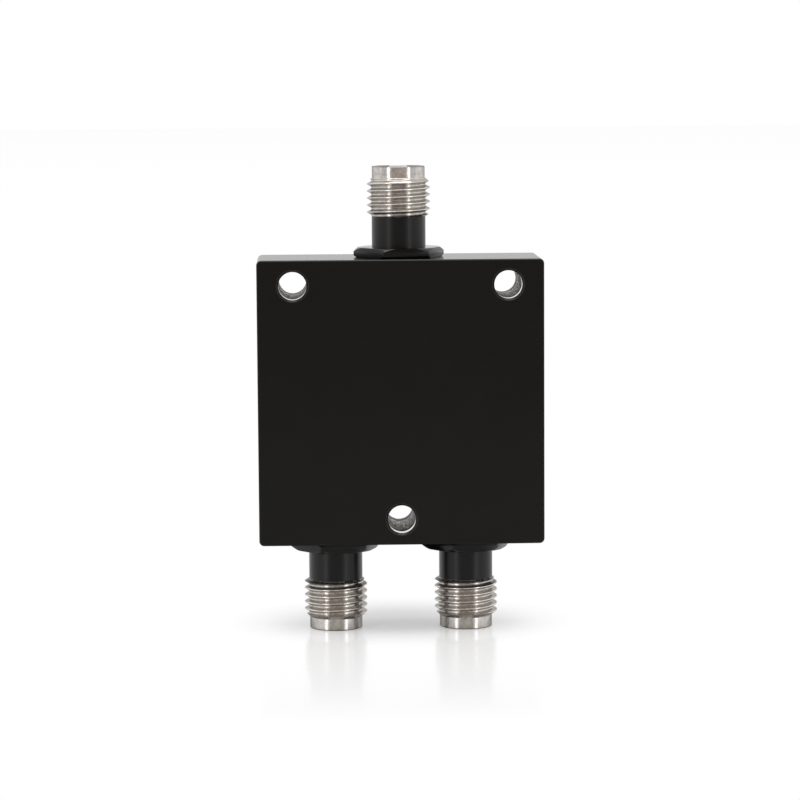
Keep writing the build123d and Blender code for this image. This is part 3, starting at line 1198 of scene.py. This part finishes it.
def camera_axes(stage):
    """Right, up and backward directions of the camera."""
    yaw, pitch, roll = stage.camera_yaw, stage.camera_pitch, stage.camera_roll
    forward = Vector(
        (
            math.sin(yaw) * math.cos(pitch),
            math.cos(yaw) * math.cos(pitch),
            -math.sin(pitch),
        )
    )
    level_right = Vector((math.cos(yaw), -math.sin(yaw), 0.0))
    level_up = level_right.cross(forward)
    right = math.cos(roll) * level_right + math.sin(roll) * level_up
    return right, right.cross(forward), -forward


def place_camera(stage):
    """Camera at the photograph's viewing angle."""
    bpy.ops.object.camera_add(location=stage.camera_place)
    camera = bpy.context.object
    camera.name = "camera"
    right, up, backward = camera_axes(stage)
    turn = Matrix((right, up, backward)).transposed().to_4x4()
    camera.matrix_world = Matrix.Translation(stage.camera_place) @ turn
    camera.data.lens = stage.camera_lens
    camera.data.sensor_width = 36.0
    camera.data.clip_start = 0.01
    bpy.context.scene.camera = camera


def place_lamps(stage, middle):
    """Two tall soft lamps, one on each side of the camera, and a square one overhead."""
    for side in (-1, 1):
        heading = side * stage.lamp_angle
        reach = Vector((math.sin(heading), -math.cos(heading), 0.0)) * stage.lamp_distance
        reach.z = stage.lamp_height / 2 - middle.z
        bpy.ops.object.light_add(type="AREA", location=middle + reach)
        lamp = bpy.context.object
        lamp.name = "lamp_left" if side < 0 else "lamp_right"
        reach.z = 0.0
        lamp.rotation_euler = (-reach).to_track_quat("-Z", "Y").to_euler()
        lamp.data.shape = "RECTANGLE"
        lamp.data.size = stage.lamp_width
        lamp.data.size_y = stage.lamp_height
        lamp.data.energy = stage.lamp_power
    bpy.ops.object.light_add(type="AREA", location=(0, 0, stage.top_height))
    top = bpy.context.object
    top.name = "lamp_top"
    top.data.shape = "SQUARE"
    top.data.size = stage.top_size
    top.data.energy = stage.top_power


def place_screen(stage, middle):
    """Dim screen that stands behind the camera, seen in reflections alone."""
    bpy.ops.mesh.primitive_plane_add(
        size=1.0,
        location=(middle.x, middle.y - stage.screen_distance, stage.screen_height / 2),
        rotation=(math.pi / 2, 0, 0),
    )
    screen = bpy.context.object
    screen.name = "screen"
    screen.scale = (stage.screen_width, stage.screen_height, 1.0)
    apply_place(screen)
    made = bpy.data.materials.new("Screen")
    made.use_nodes = True
    tree = made.node_tree
    tree.nodes.clear()
    place = tree.nodes.new("ShaderNodeTexCoord").outputs["Object"]
    height = put(tree, "ShaderNodeSeparateXYZ", {0: place}).outputs["Z"]
    foot_end = stage.screen_foot_height
    above = spread(tree, height, foot_end, 1.5 * foot_end)
    tone = blend(tree, above, stage.screen_foot, stage.screen_tone)
    glow = put(tree, "ShaderNodeEmission", {"Color": tone, "Strength": 1.0})
    put(tree, "ShaderNodeOutputMaterial", {"Surface": glow.outputs[0]})
    screen.data.materials.append(made)
    screen.visible_camera = False
    screen.visible_diffuse = False
    screen.visible_shadow = False
    screen.visible_transmission = False


def reach_from(tree, place, centre, width, depth):
    """Distance from a point behind the origin, in shares of an ellipse's two half axes."""
    offset = put(
        tree,
        "ShaderNodeMapping",
        {
            "Vector": place,
            "Location": (0.0, -centre / depth, 0.0),
            "Scale": (1 / width, 1 / depth, 0.0),
        },
    ).outputs[0]
    return put(tree, "ShaderNodeVectorMath", {0: offset}, operation="LENGTH").outputs["Value"]


def floor_finish(stage):
    """Pale floor with the object's shadow and faint reflections, plain white further away."""
    made, tree, shader, place = new_material(
        "Pale Floor", Roughness=stage.floor_roughness, Specular_IOR_Level=0.20
    )
    shader.inputs["Base Color"].default_value = (*stage.floor, 1.0)
    path = tree.nodes.new("ShaderNodeLightPath").outputs
    away = reach_from(tree, place, stage.shadow_centre, stage.shadow_width, stage.shadow_depth)
    whiteness = spread(tree, away, 0.35, 1.6, stage.shadow_lift, 1.0)
    in_front = math_node(
        tree, "MULTIPLY", put(tree, "ShaderNodeSeparateXYZ", {0: place}).outputs["Y"], -1.0
    )
    gloss = spread(tree, in_front, 0.002, stage.gloss_reach, stage.gloss, 0.0, smooth=False)
    glow = put(tree, "ShaderNodeEmission", {"Color": (1.0, 1.0, 1.0, 1.0), "Strength": 1.0})
    mirror = put(
        tree,
        "ShaderNodeBsdfGlossy",
        {"Color": (1.0, 1.0, 1.0, 1.0), "Roughness": stage.gloss_roughness},
    )
    white = put(tree, "ShaderNodeMixShader", {0: gloss, 1: glow.outputs[0], 2: mirror.outputs[0]})
    fade = math_node(tree, "MULTIPLY", path["Is Camera Ray"], whiteness)
    mixed = put(
        tree, "ShaderNodeMixShader", {0: fade, 1: shader.outputs[0], 2: white.outputs[0]}
    )
    beside = reach_from(tree, place, stage.shadow_centre, stage.shade_width, stage.shadow_depth)
    shaded = spread(tree, beside, 0.85, 0.55, 1.0, stage.table_shade)
    fallen = spread(tree, in_front, 0.06, 0.35, 1.0, stage.table_far)
    level = math_node(tree, "MULTIPLY", shaded, fallen)
    table = put(
        tree,
        "ShaderNodeBsdfGlossy",
        {"Color": blend(tree, level, (0, 0, 0), (1, 1, 1)), "Roughness": stage.table_blur},
    )
    matt = put(
        tree, "ShaderNodeBsdfDiffuse", {"Color": blend(tree, level, (0, 0, 0), stage.table_tone)}
    )
    table = put(
        tree, "ShaderNodeMixShader", {0: stage.table_mirror, 1: matt.outputs[0], 2: table.outputs[0]}
    )
    mixed = put(
        tree,
        "ShaderNodeMixShader",
        {0: path["Is Glossy Ray"], 1: mixed.outputs[0], 2: table.outputs[0]},
    )
    tree.links.new(mixed.outputs[0], tree.nodes["Material Output"].inputs["Surface"])
    return made


def place_floor(stage):
    """Floor just below the two lower connectors."""
    bpy.ops.mesh.primitive_plane_add(size=stage.floor_size, location=(0, 0, -5 * MICRON))
    floor = bpy.context.object
    floor.name = "floor"
    apply_place(floor)
    floor.data.materials.append(floor_finish(stage))


def light_room(stage):
    """White surroundings, seen plain by the camera and by mirror reflections."""
    world = bpy.data.worlds.new("Studio")
    bpy.context.scene.world = world
    world.use_nodes = True
    tree = world.node_tree
    tree.nodes.clear()
    path = tree.nodes.new("ShaderNodeLightPath").outputs
    direct = math_node(tree, "MAXIMUM", path["Is Camera Ray"], path["Is Glossy Ray"])
    direct = math_node(tree, "MAXIMUM", direct, path["Is Transmission Ray"])
    level = spread(tree, direct, 0.0, 1.0, stage.room, 1.0, smooth=False)
    white = put(tree, "ShaderNodeBackground", {"Color": (1.0, 1.0, 1.0, 1.0), "Strength": level})
    put(tree, "ShaderNodeOutputWorld", {"Surface": white.outputs[0]})


class DIVIDER_OT_stage(bpy.types.Operator):
    """Set the pale floor, the lamps, the white surroundings and the camera"""

    bl_idname = "divider.stage"
    bl_label = "Stage"

    def execute(self, context):
        stage = context.scene.divider_stage
        middle = (cad_low + cad_high) / 2
        deselect_all()
        place_camera(stage)
        place_lamps(stage, middle)
        place_screen(stage, middle)
        place_floor(stage)
        light_room(stage)
        context.scene.view_settings.view_transform = "Standard"
        return {"FINISHED"}


class DIVIDER_PT_panel(bpy.types.Panel):
    """Sidebar panel with the sizes, the colours and one button for each group of pieces."""

    bl_idname = "DIVIDER_PT_panel"
    bl_label = "Power Divider"
    bl_space_type = "VIEW_3D"
    bl_region_type = "UI"
    bl_category = "Divider"

    def draw(self, context):
        column = self.layout.column()
        for operator in OPERATORS:
            column.operator(operator.bl_idname)
        for group in (
            context.scene.divider_connector,
            context.scene.divider_finish,
            context.scene.divider_stage,
        ):
            box = self.layout.box()
            for name in group.__annotations__:
                box.prop(group, name)


OPERATORS = (
    DIVIDER_OT_stage,
    DIVIDER_OT_housing,
    DIVIDER_OT_connectors,
    DIVIDER_OT_sockets,
    DIVIDER_OT_screws,
    DIVIDER_OT_circuit,
)
CLASSES = (
    DIVIDER_PG_connector,
    DIVIDER_PG_finish,
    DIVIDER_PG_stage,
    *OPERATORS,
    DIVIDER_PT_panel,
)


def register():
    """Register the classes and their settings."""
    for item in CLASSES:
        bpy.utils.register_class(item)
    bpy.types.Scene.divider_connector = PointerProperty(type=DIVIDER_PG_connector)
    bpy.types.Scene.divider_finish = PointerProperty(type=DIVIDER_PG_finish)
    bpy.types.Scene.divider_stage = PointerProperty(type=DIVIDER_PG_stage)


def unregister():
    """Remove the settings and the classes."""
    del bpy.types.Scene.divider_stage
    del bpy.types.Scene.divider_finish
    del bpy.types.Scene.divider_connector
    for item in reversed(CLASSES):
        bpy.utils.unregister_class(item)


def main():
    """Model and finish everything."""
    register()
    bpy.ops.divider.stage()
    bpy.ops.divider.housing()
    bpy.ops.divider.connectors()
    bpy.ops.divider.sockets()
    bpy.ops.divider.screws()
    bpy.ops.divider.circuit()


if __name__ == "__main__":
    main()
